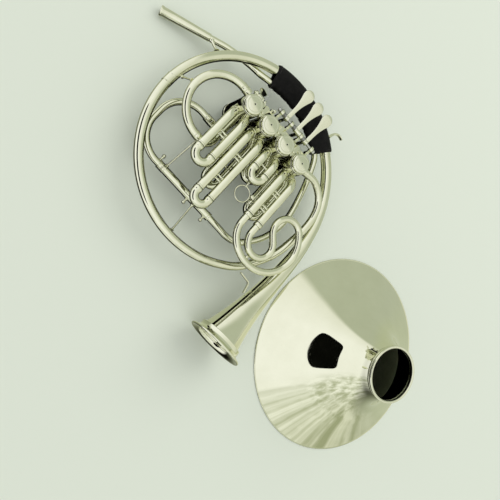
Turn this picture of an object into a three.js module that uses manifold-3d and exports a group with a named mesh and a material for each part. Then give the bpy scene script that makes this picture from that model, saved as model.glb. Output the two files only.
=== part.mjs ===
// Double french horn with a detachable bell: the body lies on its back with the valve caps up,
// and the unscrewed bell flare stands on its rim beside it. Millimetres, +Z up.
//
// The body is drawn in the horn's own frame: its origin is the centre of the round body tube, its
// x axis runs along the row of rotary valves and its y axis along the legs of the valve slides.
import * as THREE from "three";
import { mergeVertices } from "three/addons/utils/BufferGeometryUtils.js";
import Module from "manifold-3d";

const wasm = await Module();
wasm.setup();

// ---- driving dimensions -------------------------------------------------------------------
const GAP = 0.35; // clearance between pieces that touch
const SIDES = 8; // flats on a round tube
const BEND_STEP = 30; // most degrees of a bend between two stations
const WALL = 0.8; // sheet thickness of the tapered tubes

const BODY_TURN = -45; // degrees from the horn's frame to the part's frame
const RING_R = 140; // centre line of the round body tube
const RING_Z = 38; // height of the body tube and the bell branch

const VALVE_NAMES = ["thumb", "first", "second", "third"];
const VALVE_PITCH = 33.4;
const VALVE_Y = 46.7; // the row of valves, measured from the ring's centre
const CASING_R = 15.4;
const CASING_WALL = 1.6;
const CASING_Z = [14, 76]; // underside and top edge of a casing
const CAP_R = 13;
const CAP_TOP = 84;

const FRONT_Z = 66; // layer of the F slides, under the caps
const BACK_Z = 40; // layer of the B-flat slides, behind them
const LOW_Z = 24; // layer of the leadpipe and the main tuning slide
const SLEEVE_R = 6.1;
const SLEEVE_BORE = 5.4;
const LEG_R = 4.65;
const LEG_BORE = 3.8;
const LEADPIPE_R = 4.6;

const TAIL_END = [141, -201.7, 42]; // centre of the bell's screw face
const TAIL_HEADING = -94; // direction that the screw face looks in
const TAIL_RING_R = 42;

const AXLE_Y = 79.2; // finger lever axle
const AXLE_Z = 68;
const AXLE_R = 2;
const PIN_ORBIT = 11; // stop arm pin, from the rotor's axis
const ROD_Z = 8.3; // centre height of the link rods
const THUMB_AXLE_Z = 46;

const FLARE_AT = [194, -294.4]; // rim centre, from the ring's centre, in the part's frame
const FLARE_RIM_R = 155;
const THROAT_Z = 126.7;

// ---- finishes -----------------------------------------------------------------------------
const NICKEL = { color: 0xc9cbb9, roughness: 0.12, metalness: 1 };
const BRASS = { color: 0xc9a75a, roughness: 0.3, metalness: 1 };
const STEEL = { color: 0x9a9c98, roughness: 0.3, metalness: 1 };
const LEATHER = { color: 0x14140f, roughness: 0.55, metalness: 0 };

const body = new THREE.Group();
const flare = new THREE.Group();

function put(group, name, geometry, finish) {
  const mesh = new THREE.Mesh(geometry, new THREE.MeshStandardMaterial(finish));
  mesh.name = name;
  group.add(mesh);
  return mesh;
}

// ---- joining and cutting ------------------------------------------------------------------
function toSolid(geometry) {
  const bare = geometry.clone();
  bare.deleteAttribute("normal");
  bare.deleteAttribute("uv");
  const merged = mergeVertices(bare, 1e-4);
  return new wasm.Manifold(new wasm.Mesh({
    numProp: 3,
    vertProperties: new Float32Array(merged.attributes.position.array),
    triVerts: new Uint32Array(merged.index.array),
  }));
}

function toGeometry(solid) {
  const mesh = solid.getMesh();
  const geometry = new THREE.BufferGeometry();
  geometry.setAttribute("position", new THREE.BufferAttribute(mesh.vertProperties, 3));
  geometry.setIndex(new THREE.BufferAttribute(mesh.triVerts, 1));
  geometry.computeVertexNormals();
  return geometry;
}

function join(first, ...others) {
  return toGeometry(others.reduce((sum, each) => sum.add(toSolid(each)), toSolid(first)));
}

function cut(from, ...tools) {
  return toGeometry(tools.reduce((rest, each) => rest.subtract(toSolid(each)), toSolid(from)));
}

// ---- basic forms --------------------------------------------------------------------------
function block(x, y, z) {
  return new THREE.BoxGeometry(x[1] - x[0], y[1] - y[0], z[1] - z[0])
    .translate((x[0] + x[1]) / 2, (y[0] + y[1]) / 2, (z[0] + z[1]) / 2);
}

// A round bar between two points.
function bar(from, to, radius, sides = SIDES) {
  const a = new THREE.Vector3(...from);
  const b = new THREE.Vector3(...to);
  const up = new THREE.Vector3(0, 1, 0);
  const turn = new THREE.Quaternion().setFromUnitVectors(up, b.clone().sub(a).normalize());
  return new THREE.CylinderGeometry(radius, radius, a.distanceTo(b), sides)
    .applyQuaternion(turn)
    .translate(...a.add(b).multiplyScalar(0.5).toArray());
}

// A turned piece about the Z axis; the outline is a list of [radius, height].
function turned(outline, segments) {
  const points = outline.map(([r, z]) => new THREE.Vector2(r, z));
  const geometry = new THREE.LatheGeometry(points, segments);
  return mergeVertices(geometry.rotateX(Math.PI / 2), 1e-4);
}

// ---- tubes --------------------------------------------------------------------------------
// A station is a place on a tube's centre line, the way it runs there and its outer radius.
const UP = new THREE.Vector3(0, 0, 1);

// The skin of a tube through its stations. bore is an inner radius, or a function of the outer.
function pipe(stations, bore, sides = SIDES) {
  const places = [];
  const faces = [];
  const inner = typeof bore === "function" ? bore : () => bore;
  for (const radiusOf of [(s) => s.radius, (s) => inner(s.radius)]) {
    for (const station of stations) {
      const side = new THREE.Vector3().crossVectors(station.along, UP).normalize();
      const rise = new THREE.Vector3().crossVectors(side, station.along);
      for (let k = 0; k < sides; k++) {
        const angle = ((k + 0.5) * 2 * Math.PI) / sides;
        const place = station.at.clone()
          .addScaledVector(side, radiusOf(station) * Math.cos(angle))
          .addScaledVector(rise, radiusOf(station) * Math.sin(angle));
        places.push(place.x, place.y, place.z);
      }
    }
  }
  const quad = (a, b, c, d) => faces.push(a, b, c, a, c, d);
  const count = stations.length;
  const out = (i, k) => i * sides + (k % sides);
  const into = (i, k) => (count + i) * sides + (k % sides);
  for (let k = 0; k < sides; k++) {
    for (let i = 0; i + 1 < count; i++) {
      quad(out(i, k), out(i + 1, k), out(i + 1, k + 1), out(i, k + 1));
      quad(into(i, k), into(i, k + 1), into(i + 1, k + 1), into(i + 1, k));
    }
    quad(out(0, k), out(0, k + 1), into(0, k + 1), into(0, k));
    quad(out(count - 1, k + 1), out(count - 1, k), into(count - 1, k), into(count - 1, k + 1));
  }
  const geometry = new THREE.BufferGeometry();
  geometry.setAttribute("position", new THREE.Float32BufferAttribute(places, 3));
  geometry.setIndex(faces);
  geometry.computeVertexNormals();
  return geometry;
}

// A level route drawn by moves: straight runs and bends, with the tube's radius along it.
class Route {
  constructor(x, y, z, heading, radius) {
    this.at = new THREE.Vector3(x, y, z);
    this.heading = THREE.MathUtils.degToRad(heading);
    this.radius = radius;
    this.stations = [];
    this.mark();
  }

  way() {
    return new THREE.Vector3(Math.cos(this.heading), Math.sin(this.heading), 0);
  }

  mark() {
    this.stations.push({ at: this.at.clone(), along: this.way(), radius: this.radius });
    return this;
  }

  forward(length) {
    this.at.addScaledVector(this.way(), length);
    return this.mark();
  }

  // A bend of the given radius, which may climb; positive degrees turn left.
  turn(bend, degrees, climb = 0) {
    const steps = Math.max(1, Math.ceil(Math.abs(degrees) / BEND_STEP));
    const step = THREE.MathUtils.degToRad(degrees / steps);
    for (let i = 0; i < steps; i++) {
      this.heading += step / 2;
      this.at.addScaledVector(this.way(), 2 * bend * Math.sin(Math.abs(step) / 2));
      this.heading += step / 2;
      this.at.z += climb / steps;
      this.mark();
    }
    return this;
  }

  // A short shoulder to another radius.
  width(radius) {
    this.radius = radius;
    return this.forward(0.6);
  }
}

// Stations along a smooth curve; radius is a function of the fraction of its length.
function smooth(points, steps, radius) {
  const curve = new THREE.CatmullRomCurve3(points.map((p) => new THREE.Vector3(...p)));
  return Array.from({ length: steps + 1 }, (_, i) => ({
    at: curve.getPointAt(i / steps),
    along: curve.getTangentAt(i / steps),
    radius: radius(i / steps),
  }));
}

// A point at an angle and a distance from the ring's centre.
function polar(degrees, distance, z) {
  const angle = THREE.MathUtils.degToRad(degrees);
  return [distance * Math.cos(angle), distance * Math.sin(angle), z];
}

const tapered = (outer) => outer - WALL;
const valveX = (name) => (VALVE_NAMES.indexOf(name) - 1.5) * VALVE_PITCH;

function casingSpace(x) {
  const height = CASING_Z[1] - CASING_Z[0] + 40;
  return new THREE.CylinderGeometry(CASING_R + GAP, CASING_R + GAP, height, 24)
    .rotateX(Math.PI / 2)
    .translate(x, VALVE_Y, (CASING_Z[0] + CASING_Z[1]) / 2);
}

function clearOfCasings(geometry) {
  return cut(geometry, ...VALVE_NAMES.map((name) => casingSpace(valveX(name))));
}

// ---- body tube, bell tail and leadpipe ----------------------------------------------------
function bellBranch() {
  const exit = [[62, 50, 65], [74.5, 53.5, 64], [88, 56, 62], [101, 54, 59], [113.5, 48, 56],
    [123, 38, 53], [128.5, 24, 51], [130.5, 6, 49.5], [129.5, -20, 46], [124.5, -52, 41]];
  const round = [];
  for (let angle = -46; angle >= -300; angle -= 12.7) round.push(polar(angle, RING_R, RING_Z));
  const growth = (f) => 5.2 + 2.3 * f;
  return clearOfCasings(pipe(smooth([...exit, ...round], 40, growth), tapered));
}

function bellTail() {
  const along = THREE.MathUtils.degToRad(TAIL_HEADING);
  const collar = 9; // the tail ends inside its screw ring
  const end = [TAIL_END[0] - collar * Math.cos(along), TAIL_END[1] - collar * Math.sin(along), 42];
  const course = [polar(58.9, RING_R, RING_Z), polar(45, RING_R, RING_Z), polar(34, 141.3, RING_Z),
    polar(23, 143.3, RING_Z), polar(10.5, 146, RING_Z), [149.3, -1.5, RING_Z],
    [152, -27.5, RING_Z], [152, -53, 38.5], [150.3, -88, 39.3], [147.8, -120, 40.2],
    [145, -150, 41.2], end];
  const growth = (f) => 7.6 + 7.2 * f ** 1.6 + 16.2 * f ** 5.4;
  return pipe(smooth(course, 17, growth), tapered, 12);
}

function tailRing() {
  const outline = [[31.9, -14], [33, -14], [33.2, -7.4], [36, -4.8], [TAIL_RING_R, -3],
    [TAIL_RING_R, 0], [37.4, 0], [34, -3.2], [32, -6.5], [31.9, -14]];
  return turned(outline, 24)
    .rotateX(Math.PI / 2)
    .rotateZ(THREE.MathUtils.degToRad(TAIL_HEADING + 90))
    .translate(...TAIL_END);
}

const RECEIVER_END = [-208.5, 65.5, 6.7];
const RECEIVER_LENGTH = 72;
const LEADPIPE_WAY = new THREE.Vector3(91.5, 37, 13).normalize();

function alongLeadpipe(distance) {
  return new THREE.Vector3(...RECEIVER_END).addScaledVector(LEADPIPE_WAY, distance);
}

function leadpipe() {
  const inside = alongLeadpipe(RECEIVER_LENGTH - 12);
  const course = [inside.toArray(), alongLeadpipe(80).toArray(), alongLeadpipe(97).toArray(),
    polar(127, 138, 24.5), polar(119.5, 128.5, 29), polar(112.5, 124.7, 31.8), polar(98, 124.4, 32),
    polar(84, 124.4, 32), polar(68, 124.4, 32), polar(53, 124.3, 31.9), polar(42, 118.5, 28.5),
    polar(24, 111.8, LOW_Z),
    polar(0, 110.5, LOW_Z), polar(-20, 110.5, LOW_Z), polar(-35, 109, LOW_Z),
    [74, -77.5, LOW_Z], [60, -82, LOW_Z], [40, -82, LOW_Z], [12, -82, LOW_Z]];
  return pipe(smooth(course, 30, () => LEADPIPE_R), LEG_BORE);
}

function mouthpieceReceiver() {
  const from = alongLeadpipe(0);
  const outline = [[4.4, 0], [6.7, 0], [6.9, 2.5], [6.3, 4], [5.5, RECEIVER_LENGTH],
    [5.1, RECEIVER_LENGTH], [5.1, RECEIVER_LENGTH - 20], [4.4, 0]];
  const turn = new THREE.Quaternion().setFromUnitVectors(UP, LEADPIPE_WAY);
  return turned(outline, 16).applyQuaternion(turn).translate(...from.toArray());
}

// A leather wrap round two tubes lying side by side: a belt round two circles, bent along an arc.
function handGuard() {
  const leather = 1.7;
  const [start, end] = [54, 112];
  const steps = 8;
  const flats = 16;
  const circles = [{ r: RING_R, z: RING_Z, radius: 8.1 }, { r: 124.4, z: 32, radius: 5.4 }];
  const skins = [leather, 0].map((extra) => Array.from({ length: flats }, (_, k) => {
    const tilt = (k * 2 * Math.PI) / flats;
    const reach = (c) => c.r * Math.cos(tilt) + c.z * Math.sin(tilt) + c.radius;
    const c = reach(circles[0]) > reach(circles[1]) ? circles[0] : circles[1];
    const size = c.radius + extra;
    return { r: c.r + size * Math.cos(tilt), z: c.z + size * Math.sin(tilt) };
  }));
  const places = [];
  const faces = [];
  for (const skin of skins) {
    for (let i = 0; i <= steps; i++) {
      const angle = start + ((end - start) * i) / steps;
      for (const point of skin) places.push(...polar(angle, point.r, point.z));
    }
  }
  const at = (layer, i, k) => (layer * (steps + 1) + i) * flats + (k % flats);
  const quad = (a, b, c, d) => faces.push(a, b, c, a, c, d);
  for (let k = 0; k < flats; k++) {
    for (let i = 0; i < steps; i++) {
      quad(at(0, i, k), at(0, i + 1, k), at(0, i + 1, k + 1), at(0, i, k + 1));
      quad(at(1, i, k), at(1, i, k + 1), at(1, i + 1, k + 1), at(1, i + 1, k));
    }
    quad(at(0, 0, k), at(0, 0, k + 1), at(1, 0, k + 1), at(1, 0, k));
    quad(at(0, steps, k + 1), at(0, steps, k), at(1, steps, k), at(1, steps, k + 1));
  }
  const geometry = new THREE.BufferGeometry();
  geometry.setAttribute("position", new THREE.Float32BufferAttribute(places, 3));
  geometry.setIndex(faces);
  geometry.computeVertexNormals();
  return geometry;
}

// ---- valves -------------------------------------------------------------------------------
function casing() {
  const [low, high] = CASING_Z;
  const inside = CASING_R - CASING_WALL;
  return turned([[3.5, low], [CASING_R, low], [CASING_R, high - 8], [CASING_R - 1.1, high],
    [inside, high], [inside, low + 2.4], [3.5, low + 2.4], [3.5, low]], 16);
}

function cap() {
  const low = CASING_Z[1] + GAP;
  return turned([[0, low], [CAP_R + 0.7, low], [CAP_R + 0.7, low + 1.6], [CAP_R, low + 2],
    [CAP_R, CAP_TOP - 3.6], [9.4, CAP_TOP - 1], [0, CAP_TOP]], 16);
}

function rotor() {
  const [low, high] = CASING_Z;
  const radius = CASING_R - CASING_WALL - 0.45;
  return turned([[0, 6.4], [3, 6.4], [3, low + 2.8], [radius, low + 2.8], [radius, high - 2],
    [2.5, high - 2], [2.5, high - 0.4], [0, high - 0.4]], 12);
}

// The stop arm's hub, screw head and drive pin; side is the side of the rotor that the pin is on
// and start its angle from that side when the valve is at rest.
function stopArm(side, start) {
  const angle = THREE.MathUtils.degToRad(side > 0 ? start : 180 - start);
  const pin = [PIN_ORBIT * Math.cos(angle), PIN_ORBIT * Math.sin(angle)];
  const hub = bar([0, 0, 2], [0, 0, 6], 6, 10);
  const screw = bar([0, 0, 0], [0, 0, 2.5], 3.6, 8);
  const web = bar([0, 0, 4], [pin[0], pin[1], 4], 1.9, 6);
  const eye = bar([...pin, 2.2], [...pin, 5.8], 2.6, 6);
  const post = bar([...pin, 5], [...pin, 12.6], 1.2, 6);
  return join(hub, screw, web, eye, post);
}

// ---- slides -------------------------------------------------------------------------------
// Legs run along y. middle is the centre between a slide's two legs, apart their spacing, ferrule
// the y where the slide's bow meets its sleeves, and leg how far its legs reach inside them.
const SLIDES = {
  thumb: { valve: "thumb", z: FRONT_Z, middle: -50, apart: 21, ferrule: -38, leg: 52 },
  first: { valve: "first", z: FRONT_Z, middle: -15, apart: 20, ferrule: -76.5, leg: 88 },
  second: { valve: "second", z: FRONT_Z, middle: 19, apart: 20, ferrule: 1, leg: 12 },
  third: { valve: "third", z: FRONT_Z, middle: 57, apart: 20, ferrule: -49.5, leg: 62 },
  first_back: { valve: "first", z: BACK_Z, middle: -15, apart: 20, ferrule: -40, leg: 54 },
  second_back: { valve: "second", z: BACK_Z, middle: 19, apart: 20, ferrule: 6, leg: 14 },
  third_back: { valve: "third", z: BACK_Z, middle: 57, apart: 20, ferrule: -26, leg: 42 },
};
const SLEEVE_BEND_Y = { [FRONT_Z]: 14, [BACK_Z]: 21 }; // where the sleeves leave their straight run
const DIVE = [[14, 0, 0], [17, 0, 0], [23, 0.05, 1.8], [29, 0.16, 6], [35, 0.32, 12], [39, 0.45, 16]];

// A sleeve's end: the front ones dive into the side of their casing, the back ones toe in. DIVE
// lists y, the toe-in as a part of the way to the valve's axis, and the drop.
function sleeveEnd(x, z, valve) {
  const off = x - valveX(valve);
  if (z === BACK_Z) {
    return new Route(x, SLEEVE_BEND_Y[z], z, 90, SLEEVE_R).turn(14, 2.4 * off).forward(12).stations;
  }
  const share = valve === "thumb" ? 0.55 : 1; // the thumb's sleeves stay clear of the front crook
  const course = DIVE.map(([y, toe, drop]) => [x - share * toe * off, y, z - share * drop]);
  return smooth(course, 6, () => SLEEVE_R);
}

function sleeves({ valve, z, middle, apart, ferrule }) {
  const legs = [-1, 1].map((side) => {
    const x = middle + (side * apart) / 2;
    const [start] = new Route(x, ferrule, z, 90, SLEEVE_R).stations;
    return pipe([start, ...sleeveEnd(x, z, valve)], SLEEVE_BORE);
  });
  const reach = apart / 2 - 5.3; // into the sleeves' walls, short of their bores
  const length = SLEEVE_BEND_Y[z] - ferrule;
  const stays = (length > 60 ? [0.3, 0.72] : [0.6]).map((part) => {
    const y = ferrule + part * length;
    return bar([middle - reach, y, z], [middle + reach, y, z], 2, 6);
  });
  return clearOfCasings(join(legs[0], legs[1], ...stays));
}

// A plain U bow with its two legs.
function uSlide({ z, middle, apart, ferrule, leg }) {
  const route = new Route(middle - apart / 2, ferrule + leg, z, -90, LEG_R)
    .forward(leg + GAP)
    .width(SLEEVE_R)
    .forward(5)
    .turn(apart / 2, 180)
    .forward(5)
    .width(LEG_R)
    .forward(leg + GAP);
  return pipe(route.stations, LEG_BORE);
}

// The third slide's bow doubles back on itself in an S, to hold its length inside the ring.
const CROOK_R = 4.9;

function thirdSlide({ z, middle, apart, ferrule, leg }) {
  const route = new Route(middle - apart / 2, ferrule + leg, z, -90, LEG_R)
    .forward(leg + GAP)
    .width(SLEEVE_R)
    .forward(4)
    .width(CROOK_R)
    .forward(9.2)
    .turn(29.9, 45)
    .turn(47.9, 180)
    .forward(3)
    .turn(20.7, 180)
    .forward(12.34)
    .turn(19, -180)
    .forward(0.4)
    .turn(22.8, -45);
  const drift = Math.abs(route.at.x - middle - apart / 2);
  if (drift > 0.1) throw new Error(`the S bow ends ${drift.toFixed(2)} mm beside its sleeve`);
  const rest = ferrule - GAP - 4.6 - 0.6 - route.at.y;
  route.forward(rest)
    .width(SLEEVE_R)
    .forward(4)
    .width(LEG_R)
    .forward(leg + GAP);
  return pipe(route.stations, LEG_BORE);
}

// The main tuning slide: a wide bow with rounded corners; its legs run along x.
const MAIN = { side: -120, top: 10.3, bottom: -82, mouth: -68, corner: 40, leg: 28 };

function mainTuningSlide() {
  const { top, bottom, mouth, corner, leg } = MAIN;
  const route = new Route(mouth + leg, top, LOW_Z, 180, LEG_R)
    .forward(leg + GAP)
    .width(SLEEVE_R - 0.4)
    .forward(5)
    .width(LEG_R)
    .forward(mouth - GAP - 6.2 - MAIN.side - corner)
    .turn(corner, 90)
    .forward(top - bottom - 2 * corner)
    .turn(corner, 90)
    .forward(mouth - GAP - 6.2 - MAIN.side - corner)
    .width(SLEEVE_R - 0.4)
    .forward(5)
    .width(LEG_R)
    .forward(leg + GAP);
  return pipe(route.stations, LEG_BORE);
}

function mainSleeveLower() {
  const route = new Route(MAIN.mouth, MAIN.bottom, LOW_Z, 0, SLEEVE_R - 0.4).forward(90);
  return pipe(route.stations, SLEEVE_BORE - 0.4);
}

function mainSleeveUpper() {
  const route = new Route(MAIN.mouth, MAIN.top, LOW_Z, 0, SLEEVE_R - 0.4)
    .forward(36)
    .turn(13, 90)
    .forward(12);
  return clearOfCasings(pipe(route.stations, SLEEVE_BORE - 0.4));
}

// The crook that leaves the thumb valve, loops round in front and comes back under its slide.
function frontCrook() {
  const bend = 44.3;
  const drop = 11; // to pass beneath the slide
  return clearOfCasings(pipe(new Route(valveX("thumb"), 60, FRONT_Z - 3, 180, 5.5)
    .forward(22)
    .turn(bend, 180, -drop)
    .forward(8)
    .turn(14, 90, -4)
    .forward(52)
    .stations, 4.8));
}

// ---- levers and linkage -------------------------------------------------------------------
// paddle is the x of a lever's paddle, pin the side of its rotor that its link rod takes.
const LEVERS = {
  thumb: { paddle: -46, pin: 1 },
  first: { paddle: -4, pin: 1 },
  second: { paddle: 17, pin: 1 },
  third: { paddle: 38, pin: -1 },
};
const POSTS_X = [-14, 6.5, 27.5, 51];
const REST_ANGLE = 45; // the stop arm pin at rest, from the side its rod runs on
const ROD_SIDE = 3.7; // between a lever's arm and its link rod

const rodX = (valve, pin) => valveX(valve) + (pin * PIN_ORBIT * (1 + Math.cos(Math.PI / 4))) / 2;

// A lever's arm hangs beside its link rod, on the side of the paddle.
function armX(name) {
  const { paddle: x, pin } = LEVERS[name];
  const rod = rodX(name, pin);
  return rod + Math.sign(x - rod) * ROD_SIDE;
}

function axleSpace(y, z) {
  return bar([-90, y, z], [90, y, z], AXLE_R + GAP, 12);
}

// A teardrop paddle: narrow at the axle, round at the fingertip.
function paddle(x, reach, tip, thick) {
  const shape = new THREE.Shape();
  shape.moveTo(-2.2, 0);
  shape.lineTo(-3, reach * 0.45);
  shape.quadraticCurveTo(-4.2, reach * 0.7, -tip, reach);
  shape.absarc(0, reach, tip, Math.PI, 0, true);
  shape.quadraticCurveTo(4.2, reach * 0.7, 3, reach * 0.45);
  shape.lineTo(2.2, 0);
  return new THREE.ExtrudeGeometry(shape, { depth: thick, bevelEnabled: false, curveSegments: 7 })
    .translate(x, 0, 0);
}

function linkPin(arm, rod) {
  return bar([arm, AXLE_Y, ROD_Z], [rod + Math.sign(rod - arm) * 1.8, AXLE_Y, ROD_Z], 1.1, 6);
}

function fingerLever(name) {
  const { paddle: x, pin } = LEVERS[name];
  const arm = armX(name);
  const ends = [Math.min(x, arm) - 2.5, Math.max(x, arm) + 2.5];
  const hub = bar([ends[0], AXLE_Y, AXLE_Z], [ends[1], AXLE_Y, AXLE_Z], 4.2, 12);
  const plate = paddle(x, 43.5, 8.2, 2)
    .rotateX(THREE.MathUtils.degToRad(9))
    .translate(0, AXLE_Y, AXLE_Z + 0.5);
  const drop = block([arm - 1.6, arm + 1.6], [AXLE_Y - 2.5, AXLE_Y + 2.5], [5.5, AXLE_Z]);
  const link = linkPin(arm, rodX(name, pin));
  return cut(join(hub, plate, drop, link), axleSpace(AXLE_Y, AXLE_Z));
}

function thumbLever() {
  const arm = armX("thumb");
  const hub = bar([arm - 5, AXLE_Y, THUMB_AXLE_Z], [arm + 5, AXLE_Y, THUMB_AXLE_Z], 4.2, 12);
  const drop = block([arm - 1.6, arm + 1.6], [AXLE_Y - 2.5, AXLE_Y + 2.5], [5.5, THUMB_AXLE_Z]);
  const plate = paddle(arm, 20, 6.5, 2.2)
    .rotateX(THREE.MathUtils.degToRad(-38))
    .translate(0, AXLE_Y, THUMB_AXLE_Z);
  const link = linkPin(arm, rodX("thumb", LEVERS.thumb.pin));
  const axle = bar([arm - 11.5, AXLE_Y, THUMB_AXLE_Z], [arm + 11.5, AXLE_Y, THUMB_AXLE_Z], AXLE_R);
  return join(hub, drop, plate, link, axle);
}

// A link rod with an eye on the lever's pin and a wide eye round the stop arm's pin.
function linkRod(name, pin, restSide) {
  const x = rodX(name, pin);
  const far = VALVE_Y + restSide * PIN_ORBIT * Math.sin(Math.PI / 4);
  const near = bar([x - 1.6, AXLE_Y, ROD_Z], [x + 1.6, AXLE_Y, ROD_Z], 2.8, 8);
  const stem = bar([x, AXLE_Y - 2, ROD_Z], [x, far + 4.6, ROD_Z], 1.1, 6);
  const eye = bar([x, far, ROD_Z - 1.1], [x, far, ROD_Z + 1.1], 5.2, 14);
  const hole = bar([x, far, ROD_Z - 3], [x, far, ROD_Z + 3], 3.6, 12);
  const bore = bar([x - 4, AXLE_Y, ROD_Z], [x + 4, AXLE_Y, ROD_Z], 1.1 + GAP, 8);
  return cut(join(near, stem, eye), hole, bore);
}

function leverBracket() {
  const plate = block([-38, 57], [58, 71.5], [57, 60]);
  const posts = POSTS_X.map((x) => block([x - 2.2, x + 2.2], [68, 82], [57, AXLE_Z + 4]));
  const between = [-1, 0, 1].map((i) => (
    block([i * VALVE_PITCH - 3, i * VALVE_PITCH + 3], [VALVE_Y - 3, 58], [57, CASING_Z[1] + 1])
  ));
  const relief = block([-40, 80], [71.5, 90], [50, AXLE_Z - 6.5]);
  const frame = join(plate, ...posts, ...between);
  return clearOfCasings(cut(frame, axleSpace(AXLE_Y, AXLE_Z), relief));
}

function leverAxle() {
  const [from, to] = [POSTS_X[0] - 4, POSTS_X[3] + 4];
  const rod = bar([from, AXLE_Y, AXLE_Z], [to, AXLE_Y, AXLE_Z], AXLE_R, 10);
  const balls = [from - 0.6, to + 0.6].map((x) => (
    new THREE.SphereGeometry(3, 10, 6).translate(x, AXLE_Y, AXLE_Z)
  ));
  return join(rod, ...balls);
}

function thumbBracket() {
  const arm = armX("thumb");
  const cheeks = [-1, 1].map((side) => {
    const x = arm + side * 8;
    return block([x - 1.8, x + 1.8], [56, AXLE_Y + 4], [THUMB_AXLE_Z - 4, THUMB_AXLE_Z + 4]);
  });
  const tie = block([arm - 9.8, arm + 9.8], [58, 71], [THUMB_AXLE_Z + 0.5, THUMB_AXLE_Z + 4]);
  return clearOfCasings(cut(join(...cheeks, tie), axleSpace(AXLE_Y, THUMB_AXLE_Z)));
}

// ---- stays, hook and pull ring ------------------------------------------------------------
// Ends of the bars that tie the tubes together, each just short of the tube that it is soldered to.
const STAYS = {
  slide_stay: [[-65, -76, 25.5], [-65, -33.2, 49], 1.5],
  ring_stay: [[-6, -132.8, 37], [-6, -88, 26], 1.5],
  crook_stay: [[-131.8, 14, 39], [-121.6, 14, 54.5], 1.3],
  leadpipe_strut: [[-138.6, 88.9, 21.5], [-125.2, 77.6, 33.8], 2.2],
};

// A strip bent to an elbow between the body tube and the bell tail.
function tailStay() {
  const strip = (from, to) => bar([...from, 37], [...to, 37], 1.4, 6);
  const elbow = [124, -108];
  return join(strip([105, -105.6], elbow), strip(elbow, [127.6, -123.5]),
    bar([...elbow, 34.4], [...elbow, 39.6], 1.7, 6));
}

function pinkyHook() {
  const plate = new THREE.Shape();
  plate.moveTo(0, -3);
  plate.lineTo(8, 0.5);
  plate.quadraticCurveTo(17, 1, 20, -8);
  plate.lineTo(23, -7);
  plate.quadraticCurveTo(21, 6, 8, 4.5);
  plate.lineTo(0, 4);
  const angle = THREE.MathUtils.degToRad(62);
  const options = { depth: 9, bevelEnabled: false, curveSegments: 6 };
  return new THREE.ExtrudeGeometry(plate, options)
    .translate(RING_R + 10.6, 0, RING_Z - 4.5)
    .rotateZ(angle);
}

function pullRing({ middle, apart, ferrule, z }) {
  const bottom = ferrule - 5 - apart / 2 - SLEEVE_R - 1.2;
  const [x, y] = [middle + 4, bottom - 16.5];
  const ring = new THREE.TorusGeometry(11, 0.9, 6, 20).translate(x, y, z - 4);
  const lug = bar([middle + 1, bottom - 6.2, z - 4], [middle, bottom - 0.2, z - 1], 1.3, 6);
  return join(ring, lug);
}

// ---- bell flare ---------------------------------------------------------------------------
function flareSheet() {
  const profile = [[FLARE_RIM_R - 1.6, 1.7], [131, 16.5], [107, 33.5], [84, 51.3], [65.5, 69.8],
    [52.5, 88], [44, 105], [39.3, THROAT_Z - 8.5]];
  const curve = new THREE.SplineCurve(profile.map(([r, z]) => new THREE.Vector2(r, z)));
  const outside = curve.getSpacedPoints(8).map((p) => [p.x, p.y]);
  const inside = outside.map(([r, z]) => [r - 0.6, z - 0.9]).reverse();
  const rim = [[FLARE_RIM_R - 2.6, 0], [FLARE_RIM_R, 0], [FLARE_RIM_R, 2]];
  return turned([...rim, ...outside.slice(1), ...inside.slice(0, -1), rim[0]], 32);
}

function throatRing() {
  const low = THROAT_Z - 8.2 + GAP;
  return turned([[36.6, low], [39.5, low], [39.5, THROAT_Z - 5], [40.8, THROAT_Z - 4],
    [40.8, THROAT_Z], [36.6, THROAT_Z], [36.6, low]], 24);
}

// ---- assembly -----------------------------------------------------------------------------
put(body, "bell_branch", bellBranch(), NICKEL);
put(body, "bell_tail", bellTail(), NICKEL);
put(body, "tail_screw_ring", tailRing(), NICKEL);
put(body, "leadpipe", leadpipe(), NICKEL);
put(body, "mouthpiece_receiver", mouthpieceReceiver(), NICKEL);
put(body, "hand_guard", handGuard(), LEATHER);

for (const name of VALVE_NAMES) {
  const start = name === "thumb" ? -REST_ANGLE : REST_ANGLE;
  const pieces = {
    casing: [casing(), NICKEL],
    cap: [cap(), NICKEL],
    rotor: [rotor(), BRASS],
    stop_arm: [stopArm(LEVERS[name].pin, start), STEEL],
  };
  for (const [piece, [geometry, finish]] of Object.entries(pieces)) {
    put(body, `${name}_${piece}`, geometry, finish).position.set(valveX(name), VALVE_Y, 0);
  }
}

for (const [name, spec] of Object.entries(SLIDES)) {
  put(body, `${name}_sleeves`, sleeves(spec), NICKEL);
  put(body, `${name}_slide`, name === "third" ? thirdSlide(spec) : uSlide(spec), NICKEL);
}
put(body, "second_pull_ring", pullRing(SLIDES.second), NICKEL);
put(body, "main_tuning_slide", mainTuningSlide(), NICKEL);
put(body, "main_sleeve_lower", mainSleeveLower(), NICKEL);
put(body, "main_sleeve_upper", mainSleeveUpper(), NICKEL);
put(body, "front_crook", frontCrook(), NICKEL);

for (const [name, { pin }] of Object.entries(LEVERS)) {
  const isThumb = name === "thumb";
  put(body, `${name}_lever`, isThumb ? thumbLever() : fingerLever(name), NICKEL);
  put(body, `${name}_link_rod`, linkRod(name, pin, isThumb ? -1 : 1), STEEL);
}
put(body, "lever_bracket", leverBracket(), NICKEL);
put(body, "lever_axle", leverAxle(), STEEL);
put(body, "thumb_bracket", thumbBracket(), NICKEL);
put(body, "pinky_hook", pinkyHook(), NICKEL);
for (const [name, [from, to, radius]] of Object.entries(STAYS)) {
  put(body, name, bar(from, to, radius, 6), NICKEL);
}
put(body, "tail_stay", tailStay(), NICKEL);

put(flare, "bell_flare", flareSheet(), NICKEL);
put(flare, "flare_screw_ring", throatRing(), NICKEL);

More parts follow.
